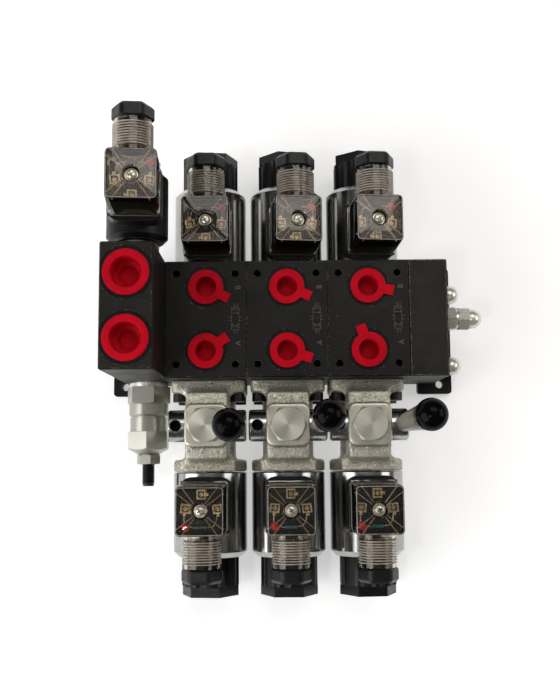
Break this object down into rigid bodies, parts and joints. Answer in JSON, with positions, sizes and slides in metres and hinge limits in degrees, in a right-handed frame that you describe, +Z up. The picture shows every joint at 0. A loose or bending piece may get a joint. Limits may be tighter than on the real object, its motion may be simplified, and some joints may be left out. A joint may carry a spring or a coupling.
{
  "type": "sectional directional control valve",
  "caption": "Stackable hydraulic control valve on feet: sections with solenoids and hand levers, inlet block with relief valve and unloading solenoid, end plate.",
  "frame": {"origin": "middle of the feet's hole pattern, on the surface that the feet stand on", "axes": "+Z up to the port faces and levers, +X along the stack from the inlet to the end plate, +Y along the spools away from the levers"},
  "size_m": [0.2316, 0.2729, 0.176],
  "materials": {
    "black_steel_block": "black oxide, satin, fine scratches",
    "zinc_casting": "rough zinc-plated casting with small pits",
    "zinc_plated_steel": "bright zinc plating",
    "coil_jacket": "polished",
    "black_plastic": "moulded, satin",
    "red_plastic": "moulded, soft sheen",
    "smoked_clear_plastic": "clear, lightly smoked",
    "black_knob": "polished",
    "black_rubber": "matte",
    "bright_screw": "bright plating",
    "black_screw": "black oxide",
    "ground_steel": "ground",
    "spring_steel": "drawn wire"
  },
  "bodies": {
    "valve": {"centring_springs_1": "spring_steel", "centring_springs_2": "spring_steel", "centring_springs_3": "spring_steel", "coil_nuts": "black_plastic", "coil_terminal_bosses": "black_plastic", "connector_gaskets": "black_rubber", "connector_housings": "smoked_clear_plastic", "connector_inserts": "black_plastic", "connector_screws": "bright_screw", "end_plate": "black_steel_block", "foot_screws": "black_screw", "gland_nuts": "black_plastic", "housing_plugs": "zinc_plated_steel", "housing_screws": "black_screw", "inlet_block": "black_steel_block", "lever_housing_1": "zinc_casting", "lever_housing_2": "zinc_casting", "lever_housing_3": "zinc_casting", "lower_coils": "coil_jacket", "main_port_plugs": "red_plastic", "mounting_feet": "black_steel_block", "relief_body": "zinc_plated_steel", "relief_lock_nut": "zinc_plated_steel", "relief_sleeve": "zinc_plated_steel", "relief_spring": "spring_steel", "section_body_1": "black_steel_block", "section_body_2": "black_steel_block", "section_body_3": "black_steel_block", "section_seals": "black_rubber", "solenoid_tubes": "ground_steel", "tie_rod_nuts": "zinc_plated_steel", "tie_rods": "ground_steel", "unloader_cartridge": "zinc_plated_steel", "unloader_coil": "black_plastic", "unloader_spring": "spring_steel", "upper_coils": "coil_jacket", "washers": "zinc_plated_steel", "work_port_caps": "red_plastic"},
    "lever_1": {"lever_shaft_1": "zinc_plated_steel", "lever_finger_1": "ground_steel", "lever_handle_1": "zinc_plated_steel", "lever_knob_1": "black_knob"},
    "spool_set_1": {"spool_1": "ground_steel", "armatures_1": "ground_steel"},
    "lever_2": {"lever_shaft_2": "zinc_plated_steel", "lever_finger_2": "ground_steel", "lever_handle_2": "zinc_plated_steel", "lever_knob_2": "black_knob"},
    "spool_set_2": {"spool_2": "ground_steel", "armatures_2": "ground_steel"},
    "lever_3": {"lever_shaft_3": "zinc_plated_steel", "lever_finger_3": "ground_steel", "lever_handle_3": "zinc_plated_steel", "lever_knob_3": "black_knob"},
    "spool_set_3": {"spool_3": "ground_steel", "armatures_3": "ground_steel"},
    "relief_seat": {"relief_seat": "ground_steel"},
    "relief_adjuster": {"relief_screw": "black_screw"},
    "relief_poppet": {"relief_poppet": "ground_steel"},
    "unloader_plunger": {"unloader_armature": "ground_steel"}
  },
  "joints": [
    {"name": "lever_1_swing", "type": "hinge", "parent": "valve", "child": "lever_1", "pos_m": [-0.045, -0.0625, 0.053], "axis": [1, 0, 0], "range_deg": [-9, 9], "stiffness_Nm_per_rad": 1.8},
    {"name": "spool_1_slide", "type": "slide", "parent": "valve", "child": "spool_set_1", "axis": [0, 1, 0], "range_m": [-0.003, 0.003], "deforming": ["centring_springs_1"]},
    {"name": "lever_2_swing", "type": "hinge", "parent": "valve", "child": "lever_2", "pos_m": [0.003, -0.0625, 0.053], "axis": [1, 0, 0], "range_deg": [-9, 9], "stiffness_Nm_per_rad": 1.8},
    {"name": "spool_2_slide", "type": "slide", "parent": "valve", "child": "spool_set_2", "axis": [0, 1, 0], "range_m": [-0.003, 0.003], "deforming": ["centring_springs_2"]},
    {"name": "lever_3_swing", "type": "hinge", "parent": "valve", "child": "lever_3", "pos_m": [0.051, -0.0625, 0.053], "axis": [1, 0, 0], "range_deg": [-9, 9], "stiffness_Nm_per_rad": 1.8},
    {"name": "spool_3_slide", "type": "slide", "parent": "valve", "child": "spool_set_3", "axis": [0, 1, 0], "range_m": [-0.003, 0.003], "deforming": ["centring_springs_3"]},
    {"name": "relief_seat_slide", "type": "slide", "parent": "valve", "child": "relief_seat", "axis": [0, 1, 0], "range_m": [-0.0025, 0.0025], "deforming": ["relief_spring"]},
    {"name": "relief_screw_turn", "type": "hinge", "parent": "relief_seat", "child": "relief_adjuster", "pos_m": [-0.0835, -0.08, 0.028], "axis": [0, 1, 0], "range_deg": [-722, 722]},
    {"name": "relief_poppet_lift", "type": "slide", "parent": "valve", "child": "relief_poppet", "axis": [0, -1, 0], "range_m": [0, 0.0015], "stiffness_N_per_m": 3000, "deforming": ["relief_spring"]},
    {"name": "unloader_lift", "type": "slide", "parent": "valve", "child": "unloader_plunger", "axis": [0, 1, 0], "range_m": [0, 0.002], "stiffness_N_per_m": 1500, "deforming": ["unloader_spring"]}
  ],
  "couplings": [
    {"joint": "spool_1_slide", "follows": "lever_1_swing", "m_per_rad": 0.019},
    {"joint": "spool_2_slide", "follows": "lever_2_swing", "m_per_rad": 0.019},
    {"joint": "spool_3_slide", "follows": "lever_3_swing", "m_per_rad": 0.019},
    {"joint": "relief_screw_turn", "follows": "relief_seat_slide", "rad_per_m": 5026.5}
  ]
}
